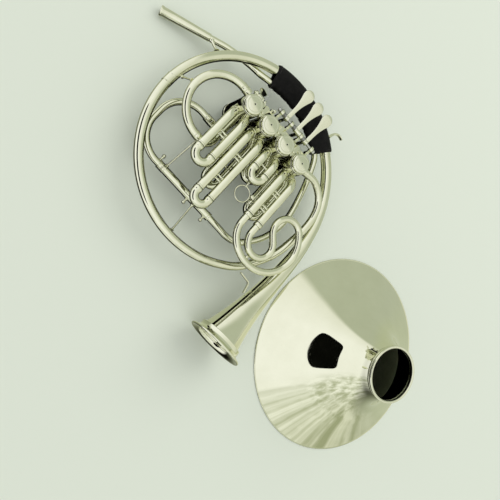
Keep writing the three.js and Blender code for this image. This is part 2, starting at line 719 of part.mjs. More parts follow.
const horn = new THREE.Group();
body.rotation.z = THREE.MathUtils.degToRad(BODY_TURN);
flare.position.set(FLARE_AT[0], FLARE_AT[1], 0);
horn.add(body, flare);
horn.updateMatrixWorld(true);
const bounds = new THREE.Box3().setFromObject(horn, true);
const middle = bounds.getCenter(new THREE.Vector3());
horn.position.set(-middle.x, -middle.y, -bounds.min.z);

export default horn;
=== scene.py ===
from math import ceil, cos, pi, radians, sin, sqrt

import bmesh
import bpy
from mathutils import Matrix, Vector


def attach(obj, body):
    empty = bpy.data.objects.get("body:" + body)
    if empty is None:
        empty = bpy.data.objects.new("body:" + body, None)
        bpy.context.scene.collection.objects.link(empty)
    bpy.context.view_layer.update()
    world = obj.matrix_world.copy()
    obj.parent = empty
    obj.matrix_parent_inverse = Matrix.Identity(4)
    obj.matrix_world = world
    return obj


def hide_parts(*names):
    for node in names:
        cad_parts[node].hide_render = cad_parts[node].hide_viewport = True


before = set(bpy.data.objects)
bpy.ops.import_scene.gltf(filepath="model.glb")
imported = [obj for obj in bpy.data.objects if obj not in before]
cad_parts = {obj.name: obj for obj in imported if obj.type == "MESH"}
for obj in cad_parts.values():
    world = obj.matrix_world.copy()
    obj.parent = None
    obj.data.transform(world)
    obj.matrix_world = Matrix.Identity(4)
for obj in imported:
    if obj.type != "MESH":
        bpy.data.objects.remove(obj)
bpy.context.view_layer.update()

# A double french horn on its back, with its unscrewed flare beside it. Shapes are drawn in
# millimetres in the horn's own frame: the origin is the ring's centre, x runs along the valves and
# y along the slides. HORN takes them into the CAD's frame, in metres. The flare is drawn round its
# own axis, and LOOSE takes it there.
HORN_AT, FLARE_AT = Vector((-0.10159, 0.12474, 0)), Vector((0.09241, -0.16966, 0))
HORN = (Matrix.Translation(HORN_AT) @ Matrix.Rotation(radians(-45), 4, "Z")
        @ Matrix.Scale(0.001, 4))
LOOSE = Matrix.Translation(FLARE_AT) @ Matrix.Scale(0.001, 4)

RING_R, RING_Z = 140, 38  # the body tube's ring: its centre line and its height
VALVES = ["thumb", "first", "second", "third"]
VALVE_STEP, VALVE_Y = 33.4, 46.7
VALVE_X = {name: (i - 1.5) * VALVE_STEP for i, name in enumerate(VALVES)}
BRIDGES_X = (-VALVE_STEP, 0, VALVE_STEP)  # midway between neighbouring valves
CASING_LOW, CASING_HIGH = 14, 76
FRONT_Z, BACK_Z, LOW_Z = 66, 40, 24  # the three layers of slides
SLEEVE_R, SLEEVE_BORE, LEG_R = 6.1, 5.2, 4.65
MAIN_SLEEVE_R, MAIN_SLEEVE_BORE = 5.6, 5.0
GAP = 0.35  # clearance between pieces that touch
AXLE_Y, AXLE_Z, THUMB_AXLE_Z = 79.2, 68, 46
ROD_Z, PIN_ORBIT = 8.3, 11
UP = Vector((0, 0, 1))


# ---- materials ---------------------------------------------------------------------------------
class Nodes:
    """A material with its shader nodes, and the frame's slot that it stands for."""

    def __init__(self, name, slot):
        self.material = bpy.data.materials.new(name)
        self.material.use_nodes = True
        self.tree = self.material.node_tree
        self.shader = self.tree.nodes["Principled BSDF"]
        self.place = self.tree.nodes.new("ShaderNodeTexCoord").outputs["Object"]
        self.slot = slot

    def add(self, kind, **values):
        node = self.tree.nodes.new("ShaderNode" + kind)
        for key, value in values.items():
            if key in node.inputs:
                node.inputs[key].default_value = value
            else:
                setattr(node, key, value)
        return node

    def link(self, out, into):
        self.tree.links.new(out, into)

    def noise(self, scale, detail=3.0, rough=0.5):
        node = self.add("TexNoise", Scale=scale, Detail=detail, Roughness=rough)
        self.link(self.place, node.inputs["Vector"])
        return node.outputs["Fac"]

    def between(self, factor, low, high, start=0.0, stop=1.0):
        node = self.add("MapRange")
        for index, value in enumerate((start, stop, low, high), 1):
            node.inputs[index].default_value = value
        self.link(factor, node.inputs[0])
        return node.outputs[0]

    def tint(self, factor, low, high, start=0.3, stop=0.7):
        node = self.add("ValToRGB")
        ends = node.color_ramp.elements
        ends[0].position, ends[1].position = start, stop
        ends[0].color, ends[1].color = (*low, 1), (*high, 1)
        self.link(factor, node.inputs[0])
        return node.outputs[0]

    def bump(self, height, strength, distance, onto=None):
        node = self.add("Bump", Strength=strength, Distance=distance)
        self.link(height, node.inputs["Height"])
        if onto:
            self.link(onto, node.inputs["Normal"])
        return node.outputs[0]

    def metal(self, dark, light, rough, wave=0.0, grain=0.0):
        """Polished or satin metal: cloudy tint, smudged gloss, and a little unevenness."""
        put = self.shader.inputs
        put["Metallic"].default_value = 1
        self.link(self.tint(self.noise(22, 5, 0.6), dark, light), put["Base Color"])
        smudge = self.noise(70, 6, 0.65)
        self.link(self.between(smudge, rough[0], rough[1], 0.35, 0.7), put["Roughness"])
        normal = None
        if wave:
            normal = self.bump(self.noise(30, 1.5, 0.4), wave, 0.0008)
        if grain:
            normal = self.bump(self.noise(1500, 2, 0.5), grain, 0.00006, normal)
        if normal:
            self.link(normal, put["Normal"])
        return self


NICKEL = Nodes("nickel", "nickel").metal(
    (0.70, 0.71, 0.54), (0.77, 0.78, 0.61), (0.03, 0.09), wave=0.03, grain=0.04)
FLARE = Nodes("flare_nickel", "nickel").metal(
    (0.71, 0.72, 0.55), (0.76, 0.77, 0.6), (0.015, 0.05), wave=0.07)
CAPS = Nodes("cap_nickel", "nickel").metal(
    (0.73, 0.74, 0.58), (0.8, 0.81, 0.66), (0.09, 0.18), wave=0.03, grain=0.1)
BRASS = Nodes("turned_brass", "brass").metal(
    (0.62, 0.47, 0.2), (0.78, 0.62, 0.32), (0.18, 0.34), grain=0.2)
STEEL = Nodes("satin_steel", "steel").metal(
    (0.42, 0.43, 0.41), (0.56, 0.57, 0.54), (0.2, 0.34), grain=0.2)

LEATHER = Nodes("black_leather", "leather")
LEATHER.link(LEATHER.tint(LEATHER.noise(160, 4), (0.002, 0.002, 0.002), (0.007, 0.0065, 0.006)),
             LEATHER.shader.inputs["Base Color"])
LEATHER.link(LEATHER.between(LEATHER.noise(90, 4), 0.5, 0.7), LEATHER.shader.inputs["Roughness"])
LEATHER.shader.inputs["Specular IOR Level"].default_value = 0.16
pebble = LEATHER.add("TexVoronoi", Scale=900.0)
LEATHER.link(LEATHER.place, pebble.inputs["Vector"])
crease = LEATHER.bump(LEATHER.noise(60, 4, 0.6), 0.4, 0.0012)
LEATHER.link(LEATHER.bump(pebble.outputs["Distance"], 0.5, 0.0003, crease),
             LEATHER.shader.inputs["Normal"])

THREAD = Nodes("waxed_thread", "leather")
THREAD.link(THREAD.tint(THREAD.noise(700, 2), (0.012, 0.011, 0.01), (0.05, 0.047, 0.04)),
            THREAD.shader.inputs["Base Color"])
THREAD.shader.inputs["Roughness"].default_value = 0.7

# Painted shade: a near-black matt fill that darkens the caps' centre pits and the rotor screws'
# slots.
HOLLOW_SHADE = Nodes("painted_hollow_shade", "steel")
HOLLOW_SHADE.link(HOLLOW_SHADE.tint(HOLLOW_SHADE.noise(200, 3), (0.01, 0.01, 0.009), (0.03, 0.029, 0.025)),
          HOLLOW_SHADE.shader.inputs["Base Color"])
HOLLOW_SHADE.shader.inputs["Roughness"].default_value = 0.8


# ---- forms -------------------------------------------------------------------------------------
class Station:
    """A place on a tube's centre line, the way it runs there and the tube's radius."""

    def __init__(self, at, along, radius):
        self.at, self.along, self.radius = Vector(at), Vector(along).normalized(), radius

    def moved(self, distance):
        return Station(self.at + self.along * distance, self.along, self.radius)


def across(along):
    side = along.cross(UP)
    side = side.normalized() if side.length > 1e-4 else Vector((1, 0, 0))
    return side, side.cross(along)


class Shape:
    """The vertices and faces of one piece."""

    def __init__(self):
        self.points, self.faces = [], []

    def loft(self, loops, wrap=False, caps=True):
        """Skin over loops that all have the same number of points."""
        first, size = len(self.points), len(loops[0])
        for loop in loops:
            self.points += [Vector(p) for p in loop]
        ends = [first + i * size for i in range(len(loops))]
        for a, b in zip(ends, ends[1:] + ends[:1] if wrap else ends[1:]):
            for k in range(size):
                n = (k + 1) % size
                self.faces.append((a + k, a + n, b + n, b + k))
        if caps and not wrap:
            self.faces.append(tuple(range(ends[0], ends[0] + size)))
            self.faces.append(tuple(range(ends[-1], ends[-1] + size)))
        return self

    def tube(self, stations, bore=None, sides=32):
        """A round tube; bore is an inner radius or a function of the outer."""
        def circle(station, radius):
            side, rise = across(station.along)
            return [station.at + side * radius * cos(2 * pi * k / sides)
                    + rise * radius * sin(2 * pi * k / sides) for k in range(sides)]
        loops = [circle(s, s.radius) for s in stations]
        if bore is None:
            return self.loft(loops)
        inner = bore if callable(bore) else lambda outer: bore
        loops += [circle(s, inner(s.radius)) for s in reversed(stations)]
        return self.loft(loops, wrap=True)

    def turned(self, outline, at=(0, 0, 0), along=(0, 0, 1), segments=48):
        """A turned form. outline holds [radius, distance along], and makes a ring where it ends
        at its own start."""
        closed = outline[0] == outline[-1] and len(outline) > 3
        side, rise = across(Vector(along).normalized())
        along, at = Vector(along).normalized(), Vector(at)
        loops = [[at + along * h + (side * cos(2 * pi * k / segments)
                                    + rise * sin(2 * pi * k / segments)) * max(r, 0.02)
                  for k in range(segments)] for r, h in (outline[:-1] if closed else outline)]
        return self.loft(loops, wrap=closed)

    def bar(self, start, stop, radius, segments=24):
        start, stop = Vector(start), Vector(stop)
        length = (stop - start).length
        return self.turned([[radius, 0], [radius, length]], start, stop - start, segments)

    def ball(self, at, radius, along=(0, 0, 1), flat=1.0, segments=24):
        steps = segments // 2
        arc = [[radius * sin(pi * i / steps), -radius * flat * cos(pi * i / steps)]
               for i in range(steps + 1)]
        return self.turned(arc, at, along, segments)

    def hoop(self, at, along, radius, wire, segments=64, sides=12):
        """A round wire bent to a circle."""
        outline = [[radius + wire * cos(2 * pi * k / sides), wire * sin(2 * pi * k / sides)]
                   for k in range(sides)]
        return self.turned(outline + outline[:1], at, along, segments)

    def prism(self, outline, low, high, place=None):
        """A flat shape, with its outline in x and y, from z low to z high."""
        loops = [[Vector((x, y, z)) for x, y in outline] for z in (low, high)]
        if place:
            loops = [[place @ p for p in loop] for loop in loops]
        return self.loft(loops)

    def block(self, x, y, z):
        return self.prism([(x[0], y[0]), (x[1], y[0]), (x[1], y[1]), (x[0], y[1])], *z)

    def ferrule(self, station, length, thick=0.5, segments=40):
        """A sleeve soldered over a joint, with a bead at each end."""
        sunk, half = station.radius - 0.3, length / 2
        bead, waist = station.radius + thick, station.radius + thick * 0.55
        edge = [[sunk, -half], [bead, -half], [bead, -half + 0.9], [waist, -half + 1.2],
                [waist, half - 1.2], [bead, half - 0.9], [bead, half], [sunk, half],
                [sunk, -half]]
        return self.turned(edge, station.at, station.along, segments)

    def stay(self, start, stop, radius, flange=None):
        """A bar with a turned waist and a small flange at each end."""
        start, stop = Vector(start), Vector(stop)
        length, wide = (stop - start).length, flange or radius * 1.9
        outline = [[wide, 0], [wide, 0.8], [radius * 1.15, 1.6], [radius, 2.6],
                   [radius, length - 2.6], [radius * 1.15, length - 1.6],
                   [wide, length - 0.8], [wide, length]]
        return self.turned(outline, start, stop - start, 28)

    def done(self, name, material, body, replaces=(), bevel=0.0, base=HORN, smooth=38):
        """Make the piece: base takes its points into the CAD's frame, and body moves it."""
        mesh = bpy.data.meshes.new(name)
        mesh.from_pydata([base @ p for p in self.points], [], self.faces)
        work = bmesh.new()
        work.from_mesh(mesh)
        bmesh.ops.recalc_face_normals(work, faces=work.faces)
        work.to_mesh(mesh)
        work.free()
        mesh.polygons.foreach_set("use_smooth", [True] * len(mesh.polygons))
        piece = bpy.data.objects.new(name, mesh)
        bpy.context.scene.collection.objects.link(piece)
        mesh.materials.append(material.material)
        if bevel:
            rounding = piece.modifiers.new("rounded edges", "BEVEL")
            rounding.width, rounding.segments = bevel * 0.001, 2
            rounding.limit_method, rounding.angle_limit = "ANGLE", radians(32)
            rounding.harden_normals = True
        else:
            mesh.set_sharp_from_angle(angle=radians(smooth))
        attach(piece, body)
        if replaces:
            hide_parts(*replaces)
        return piece


def polar(angle, distance, z):
    """A point at an angle, in degrees, and a distance from the ring's centre."""
    return (distance * cos(radians(angle)), distance * sin(radians(angle)), z)


class Route:
    """A level route drawn by moves: straight runs and bends, with the tube's radius along it."""

    def __init__(self, x, y, z, heading, radius):
        self.at, self.heading, self.radius = Vector((x, y, z)), radians(heading), radius
        self.stations = []
        self.mark()

    def way(self):
        return Vector((cos(self.heading), sin(self.heading), 0))

    def mark(self):
        self.stations.append(Station(self.at, self.way(), self.radius))
        return self

    def forward(self, length):
        self.at = self.at + self.way() * length
        return self.mark()

    def turn(self, bend, angle, climb=0.0):
        steps = max(1, ceil(abs(angle) / 5))
        step = radians(angle / steps)
        chord = 2 * bend * sin(abs(step) / 2)
        for _ in range(steps):
            self.heading += step / 2
            self.at = self.at + self.way() * chord
            self.heading += step / 2
            self.at.z += climb / steps
            self.mark()
        return self

    def width(self, radius):
        self.radius = radius
        return self.forward(0.6)


def smooth(points, spacing, radius):
    """Stations along a centripetal curve; radius is a function of the fraction of its length."""
    points = [Vector(p) for p in points]
    ends = [2 * points[0] - points[1], *points, 2 * points[-1] - points[-2]]
    line = [points[0]]
    for a, b, c, d in zip(ends, ends[1:], ends[2:], ends[3:]):
        gaps = [sqrt((q - p).length) for p, q in ((a, b), (b, c), (c, d))]
        t1 = ((b - a) / gaps[0] - (c - a) / (gaps[0] + gaps[1]) + (c - b) / gaps[1]) * gaps[1]
        t2 = ((c - b) / gaps[1] - (d - b) / (gaps[1] + gaps[2]) + (d - c) / gaps[2]) * gaps[1]
        for k in range(1, 25):
            t = k / 24
            line.append(b + t1 * t + (3 * (c - b) - 2 * t1 - t2) * t * t
                        + (2 * (b - c) + t1 + t2) * t ** 3)
    reach = [0.0]
    for p, q in zip(line, line[1:]):
        reach.append(reach[-1] + (q - p).length)
    count, stations, i = max(2, round(reach[-1] / spacing)), [], 0
    for k in range(count + 1):
        goal = reach[-1] * k / count
        while i + 2 < len(reach) and reach[i + 1] < goal:
            i += 1
        part = (goal - reach[i]) / (reach[i + 1] - reach[i])
        at = line[i].lerp(line[i + 1], part)
        before, after = line[max(i - 1, 0)], line[min(i + 2, len(line) - 1)]
        stations.append(Station(at, after - before, radius(k / count)))
    return stations


def along(stations, fraction):
    """The station at a fraction of the way along."""
    return stations[min(len(stations) - 1, round(fraction * (len(stations) - 1)))]


# ---- body tube, tail and leadpipe --------------------------------------------------------------
def bell_branch():
    leave = [(62, 50, 65), (74.5, 53.5, 64), (88, 56, 62), (101, 54, 59), (113.5, 48, 56),
             (123, 38, 53), (128.5, 24, 51), (130.5, 6, 49.5), (129.5, -20, 46), (124.5, -52, 41)]
    round_ring = [polar(-46 - 12.7 * i, RING_R, RING_Z) for i in range(21)]
    line = smooth(leave + round_ring, 2.2, lambda f: 5.2 + 2.3 * f)
    Shape().tube(line).done("bell_branch", NICKEL, "horn_body", ["bell_branch"])
    rings = Shape()
    for fraction, length in ((0.008, 7), (0.2, 9), (0.648, 13)):
        rings.ferrule(along(line, fraction), length, 0.45, 56)
    rings.done("branch_ferrules", NICKEL, "horn_body", bevel=0.2)


def bell_tail():
    heading = radians(-94)
    way = Vector((cos(heading), sin(heading), 0))
    mouth = Vector((141, -201.7, 42))
    course = [polar(58.9, RING_R, RING_Z), polar(45, RING_R, RING_Z), polar(34, 141.3, RING_Z),
              polar(23, 143.3, RING_Z), polar(10.5, 146, RING_Z), (149.3, -1.5, RING_Z),
              (152, -27.5, RING_Z), (152, -53, 38.5), (150.3, -88, 39.3), (147.8, -120, 40.2),
              (145, -150, 41.2), mouth - way * 9]
    line = smooth(course, 2.2, lambda f: 7.6 + 7.2 * f ** 1.6 + 16.2 * f ** 5.4)
    wall = 0.8
    Shape().tube(line, lambda outer: outer - wall, 64).done(
        "bell_tail", NICKEL, "horn_body", ["bell_tail"])
    ring = [[31.9, -14], [32.7, -14], [33, -13.6], [33, -9.2], [33.4, -7.4], [34.6, -5.9],
            [36.8, -4.5], [39.4, -3.5], [41.2, -2.9], [42, -2.1], [42, -0.7], [41.3, 0], [39, 0],
            [37.6, -0.6], [35.4, -1.6], [33.8, -3.2], [32.6, -5.6], [32.1, -8], [31.9, -14]]
    Shape().turned(ring, mouth, way, 112).done(
        "tail_screw_ring", NICKEL, "horn_body", ["tail_screw_ring"], bevel=0.25)
    thread = Shape()
    for k in range(4):
        thread.hoop(mouth - way * (6 + 1.4 * k), way, 31.7, 0.4, 96, 8)
    thread.done("tail_ring_thread", NICKEL, "horn_body")
    band = Shape().ferrule(along(line, 0.035), 10, 0.5, 56)
    band.done("tail_ferrule", NICKEL, "horn_body", bevel=0.2)


RECEIVER_END = Vector((-208.5, 65.5, 6.7))
RECEIVER_LENGTH = 72
LEADPIPE_WAY = Vector((91.5, 37, 13)).normalized()
LEADPIPE_RING_R, LEADPIPE_RING_Z = 124.4, 32  # where the leadpipe runs beside the body tube


def leadpipe():
    inside = [RECEIVER_END + LEADPIPE_WAY * d for d in (RECEIVER_LENGTH - 12, 80, 97)]
    beside_ring = [polar(angle, LEADPIPE_RING_R, LEADPIPE_RING_Z) for angle in (98, 84, 68)]
    course = [*inside, polar(127, 138, 24.5), polar(119.5, 128.5, 29), polar(112.5, 124.7, 31.8),
              *beside_ring, polar(53, 124.3, 31.9), polar(42, 118.5, 28.5), polar(24, 111.8, LOW_Z),
              polar(0, 110.5, LOW_Z), polar(-20, 110.5, LOW_Z), polar(-35, 109, LOW_Z),
              (74, -77.5, LOW_Z), (60, -82, LOW_Z), (40, -82, LOW_Z), (12, -82, LOW_Z)]
    line = smooth(course, 2.2, lambda f: 4.6)
    Shape().tube(line).done("leadpipe", NICKEL, "horn_body", ["leadpipe"])
    rings = Shape()
    for fraction, length in ((0.36, 10), (0.55, 10), (0.86, 12)):
        rings.ferrule(along(line, fraction), length, 0.5)
    rings.done("leadpipe_ferrules", NICKEL, "horn_body", bevel=0.2)
    shank = [[4.4, 0], [6, 0], [6.8, 0.8], [6.85, 2.6], [6.3, 4], [6.1, 20], [5.35, 70.4],
             [5.1, RECEIVER_LENGTH], [4.7, RECEIVER_LENGTH], [4.2, 40], [4.4, 0]]
    Shape().turned(shank, RECEIVER_END, LEADPIPE_WAY, 48).done(
        "mouthpiece_receiver", NICKEL, "horn_body", ["mouthpiece_receiver"], bevel=0.3)


GUARD_FROM, GUARD_ARC = 54, 58  # degrees round the ring


def hand_guard():
    """Leather drawn tight round the body tube and the leadpipe, laced on the inside."""
    tubes = [(RING_R, RING_Z, 8.1), (LEADPIPE_RING_R, LEADPIPE_RING_Z, 5.4)]
    flats, steps, thick, lift = 144, 96, 1.6, 0.25

    def skin(extra, f):
        """The way round both tubes, extra clear of them, at a fraction of the guard's length."""
        loop = []
        edge = 0.5 * (max(0, 1 - f / 0.02) ** 2 + max(0, 1 - (1 - f) / 0.02) ** 2)
        for k in range(flats):
            tilt = 2 * pi * k / flats
            reach = [r * cos(tilt) + z * sin(tilt) + size for r, z, size in tubes]
            r, z, size = tubes[0] if reach[0] > reach[1] else tubes[1]
            # Shallow folds where the leather is pulled towards its lacing.
            pull = max(0.0, cos(tilt - radians(195))) ** 3
            folds = (0.35 * sin(f * 52) + 0.2 * sin(f * 91 + 1)) * pull
            size += extra * (1 - edge) + folds
            loop.append(Vector(polar(GUARD_FROM + GUARD_ARC * f, r + size * cos(tilt),
                                     z + size * sin(tilt))))
        return loop

    outer = [skin(thick, i / steps) for i in range(steps + 1)]
    inner = [skin(lift, i / steps) for i in range(steps + 1)]
    wrap = Shape().loft(outer + inner[::-1], wrap=True)
    guard = wrap.done("hand_guard", LEATHER, "horn_body", ["hand_guard"], smooth=60)
    lacing, crosses = Shape(), 16

    def lace(f, tilt, reach=7.25):
        """A point on the leather's inside, round the leadpipe."""
        tilt = radians(tilt)
        return Vector(polar(GUARD_FROM + GUARD_ARC * f, LEADPIPE_RING_R + reach * cos(tilt),
                            LEADPIPE_RING_Z + reach * sin(tilt)))

    for k in range(crosses + 1):
        f = 0.03 + 0.94 * k / crosses
        for turn in (-1, 1):
            lacing.bar(lace(f, 188), lace(f + turn * 0.012, 214), 0.4, 8)
    for f in (0.022, 0.978):
        ring = outer[round(f * steps)]
        for a, b in zip(ring[::3], ring[1::3]):
            middle = (a + b) / 2
            lacing.ball(middle, 0.32, b - a, 2.2, 8)
    stitching = lacing.done("hand_guard_stitching", THREAD, "horn_body")


# ---- valves ------------------------------------------------------------------------------------
def valve(name):
    """A casing and its cap, with the rotor, stop arm and screw that turn in it."""
    x = VALVE_X[name]
    at = (x, VALVE_Y, 0)
    low, high = CASING_LOW, CASING_HIGH
    shell = [[3.5, low], [12, low], [12.6, low + 0.8], [15.4, low + 0.8], [15.4, low + 5.4],
             [14.7, low + 6], [14.7, high - 12], [15.3, high - 11.4], [15.3, high - 8],
             [14.3, high - 0.4], [14.2, high], [13.8, high],
             [13.8, low + 2.4], [3.5, low + 2.4], [3.5, low]]
    Shape().turned(shell, at, UP, 72).done(
        f"{name}_casing", NICKEL, "horn_body", [f"{name}_casing"], bevel=0.2)
    lid = [[0, 76.35], [13.5, 76.35], [13.7, 76.8], [13.7, 77.7], [13.1, 78.2], [13, 79.2],
           [13, 80.8], [12.7, 81.7], [12, 82.3], [10.6, 82.7], [9.8, 82.78], [9.5, 82.72],
           [9.2, 82.85], [6, 83.45], [2.2, 83.8], [1.1, 83.75], [0.75, 83.2], [0, 83.1]]
    top = Shape().turned(lid, at, UP, 96)
    top.done(f"{name}_cap", CAPS, "horn_body", [f"{name}_cap"], bevel=0.12)
    # Painted shade: a dark plug that fills the cap's centre pit.
    dimple_shade = Shape().turned([[0, 83.15], [0.95, 83.2], [0.95, 83.82], [0, 83.9]], at, UP, 20)
    dimple_shade.done(f"{name}_cap_dimple", HOLLOW_SHADE, "horn_body")

    plug = [[0, 6.4], [3, 6.4], [3, 16.8], [13.3, 16.8], [13.3, 74], [2.5, 74], [2.5, 75.6],
            [0, 75.6]]
    Shape().turned(plug, at, UP, 48).done(
        f"{name}_rotor", BRASS, f"{name}_valve", [f"{name}_rotor"], bevel=0.2)

    # Where the drive pin stands at rest. The third valve is a mirror image of its neighbours.
    start = radians(-45 if name == "thumb" else 45)
    if name == "third":
        start = pi - start
    way = Vector((cos(start), sin(start), 0))
    hub = Shape().turned([[0, 1.9], [5.4, 1.9], [6, 2.4], [6, 5.4], [5.5, 6], [0, 6]], at, UP, 40)
    sideways = Vector((-way.y, way.x, 0))
    centre, pin = Vector(at), Vector(at) + way * PIN_ORBIT
    web = [centre + sideways * 3, pin + sideways * 2.2, pin - sideways * 2.2,
           centre - sideways * 3]
    hub.prism([(p.x, p.y) for p in web], 2.3, 5.6)
    hub.turned([[2.6, 2.2], [2.6, 5.8]], pin, UP, 24)
    hub.turned([[1.2, 5], [1.2, 12], [0.8, 12.6]], pin, UP, 16)
    # The bumper arm, on the side away from the pin.
    hub.bar(centre + UP * 4, centre - way * 8 + UP * 4, 1.7, 16)
    hub.done(f"{name}_stop_arm", STEEL, f"{name}_valve", [f"{name}_stop_arm"], bevel=0.25)
    head = Shape().turned([[0, 0.05], [2.9, 0.05], [3.5, 0.5], [3.6, 1.9], [0, 1.9]], at, UP, 28)
    head.done(f"{name}_rotor_screw", STEEL, f"{name}_valve", bevel=0.15)
    # Painted shade: a thin dark strip across the screw's head, where its slot is.
    slot_shade = Shape().block((x - 3.2, x + 3.2), (VALVE_Y - 0.4, VALVE_Y + 0.4), (0, 0.6))
    slot_shade.done(f"{name}_rotor_screw_slot", HOLLOW_SHADE, f"{name}_valve")


def cap_links():
    """The pointed bridges between the caps, and the small screws beside them."""
    links = Shape()
    for x in BRIDGES_X:
        tip = [(x - 1.1, VALVE_Y - 1), (x + 1.1, VALVE_Y - 1), (x + 3.4, VALVE_Y + 6),
               (x + 2, VALVE_Y + 9), (x - 2, VALVE_Y + 9), (x - 3.4, VALVE_Y + 6)]
        links.prism(tip, 66, 73.4)
        links.turned([[0, 73.3], [1.7, 73.3], [1.7, 74.2], [1.2, 74.8], [0, 74.9]],
                     (x, VALVE_Y + 5.6, 0), UP, 24)
    links.done("cap_links", NICKEL, "horn_body", bevel=0.35)


# ---- slides ------------------------------------------------------------------------------------
# Each slide's valve, height, middle, the distance between its legs, where its sleeves' ferrules
# are and how far its legs reach into the sleeves.
SLIDES = {
    "thumb": ("thumb", FRONT_Z, -50, 21, -38, 52),
    "first": ("first", FRONT_Z, -15, 20, -76.5, 88),
    "second": ("second", FRONT_Z, 19, 20, 1, 12),
    "third": ("third", FRONT_Z, 57, 20, -49.5, 62),
    "first_back": ("first", BACK_Z, -15, 20, -40, 54),
    "second_back": ("second", BACK_Z, 19, 20, 6, 14),
    "third_back": ("third", BACK_Z, 57, 20, -26, 42),
}
# How a front sleeve dives into its casing: y, the share of its way in towards the valve's middle,
# and how far it has dropped.
DIVE = [(14, 0, 0), (17, 0, 0), (23, 0.05, 1.8), (29, 0.16, 6), (35, 0.32, 12), (39, 0.45, 16)]
DIVE_Y, BACK_BEND_Y = 14, 21  # where the straight run ends, in front and in the back layer
SLEEVE_SKIN_R = SLEEVE_R - 0.15
BOW_R = SLEEVE_R - 0.2
FERRULE_RUN = 5  # from a slide's ferrule to its bow


def sleeves(name):
    """A pair of outer slide tubes, from their ferrules to the valve, with the stays between."""
    valve_name, z, middle, apart, ferrule, _ = SLIDES[name]
    front, wide = z == FRONT_Z, SLEEVE_SKIN_R
    tubes = Shape()
    for side in (-1, 1):
        x = middle + side * apart / 2
        off = x - VALVE_X[valve_name]
        if front:
            share = 0.55 if valve_name == "thumb" else 1  # the crook is in the way of a full dive
            course = [(x - share * toe * off, y, z - share * drop) for y, toe, drop in DIVE]
            dive = smooth(course, 1.5, lambda f: wide)
            elbow = dive[len(dive) // 2 + 1]
            tubes.tube([Station((x, ferrule, z), (0, 1, 0), wide), *dive], SLEEVE_BORE)
        else:
            run = Route(x, ferrule, z, 90, wide).forward(BACK_BEND_Y - ferrule)
            elbow = run.turn(14, 2.4 * off).stations[-1].moved(2.2)
            tubes.tube(run.forward(9).stations, SLEEVE_BORE)
        tubes.turned([[wide - 0.4, 0], [wide + 0.25, 0], [wide + 0.35, 0.4], [wide + 0.35, 1.6],
                      [wide, 2.1], [wide - 0.4, 2.1], [wide - 0.4, 0]],
                     (x, ferrule, z), (0, 1, 0), 48)
        tubes.ferrule(elbow, 3.4, 0.4)
    length = (DIVE_Y if front else BACK_BEND_Y) - ferrule
    reach = apart / 2 - 5.7
    for part in (0.3, 0.72) if length > 60 else (0.6,):
        for shift in (-2.6, 2.6) if front and length > 40 else (0,):
            y = ferrule + part * length + shift
            tubes.stay((middle - reach, y, z), (middle + reach, y, z), 1.4, 2.5)
    tubes.done(f"{name}_sleeves", NICKEL, "horn_body", [f"{name}_sleeves"], bevel=0.12)


def leg_ferrules(shape, name):
    """The collars that stop a slide at its sleeves' ends."""
    _, z, middle, apart, ferrule, _ = SLIDES[name]
    wide = SLEEVE_SKIN_R
    for side in (-1, 1):
        at = (middle + side * apart / 2, ferrule - 0.9, z)
        shape.turned([[wide - 0.5, 0], [wide + 0.2, 0], [wide + 0.35, 0.4], [wide + 0.35, 3],
                      [wide + 0.1, 4.4], [wide - 0.5, 5], [wide - 0.5, 0]], at, (0, -1, 0), 48)


def u_slide(name):
    """A plain slide: a bow with two legs."""
    _, z, middle, apart, ferrule, leg = SLIDES[name]
    shoulder = 0.9
    run = FERRULE_RUN - shoulder + GAP
    route = (Route(middle - apart / 2, ferrule + leg, z, -90, LEG_R).forward(leg + shoulder)
             .width(BOW_R).forward(run).turn(apart / 2, 180).forward(run)
             .width(LEG_R).forward(leg + shoulder))
    shape = Shape().tube(route.stations, sides=40)
    leg_ferrules(shape, name)
    shape.done(f"{name}_slide", NICKEL, f"{name}_tuning_slide", [f"{name}_slide"], bevel=0.12)


def third_slide():
    """The long slide, whose tube loops round and back between its two legs."""
    _, z, middle, apart, ferrule, leg = SLIDES["third"]
    cuff, loop_r = 4, 4.9
    route = (Route(middle - apart / 2, ferrule + leg, z, -90, LEG_R).forward(leg + GAP)
             .width(BOW_R).forward(cuff).width(loop_r).forward(9.2))
    marks = []
    for bend, angle, run in ((29.9, 45, 0), (47.9, 180, 3), (20.7, 180, 12.34), (19, -180, 0.4),
                             (22.8, -45, 0)):
        route.turn(bend, angle)
        if run:
            route.forward(run)
        marks.append(route.stations[-1])
    rest = ferrule - GAP - cuff - 0.6 - 0.6 - route.at.y
    route.forward(rest).width(BOW_R).forward(cuff).width(LEG_R).forward(leg + GAP)
    shape = Shape().tube(route.stations, sides=40)
    leg_ferrules(shape, "third")
    for index in (1, 2):
        shape.ferrule(marks[index], 5, 0.5)
    for x, y in ((65.8, -85.9), (84, -93.8)):
        shape.turned([[0, z - 3], [1.9, z - 3], [1.9, z + 3.6], [1.2, z + 4.4], [0, z + 4.5]],
                     (x, y, 0), UP, 20)
    shape.stay((58.2, -85.9, z), (64.2, -85.9, z), 1.2, 1.8)
    shape.done("third_slide", NICKEL, "third_tuning_slide", ["third_slide"], bevel=0.12)


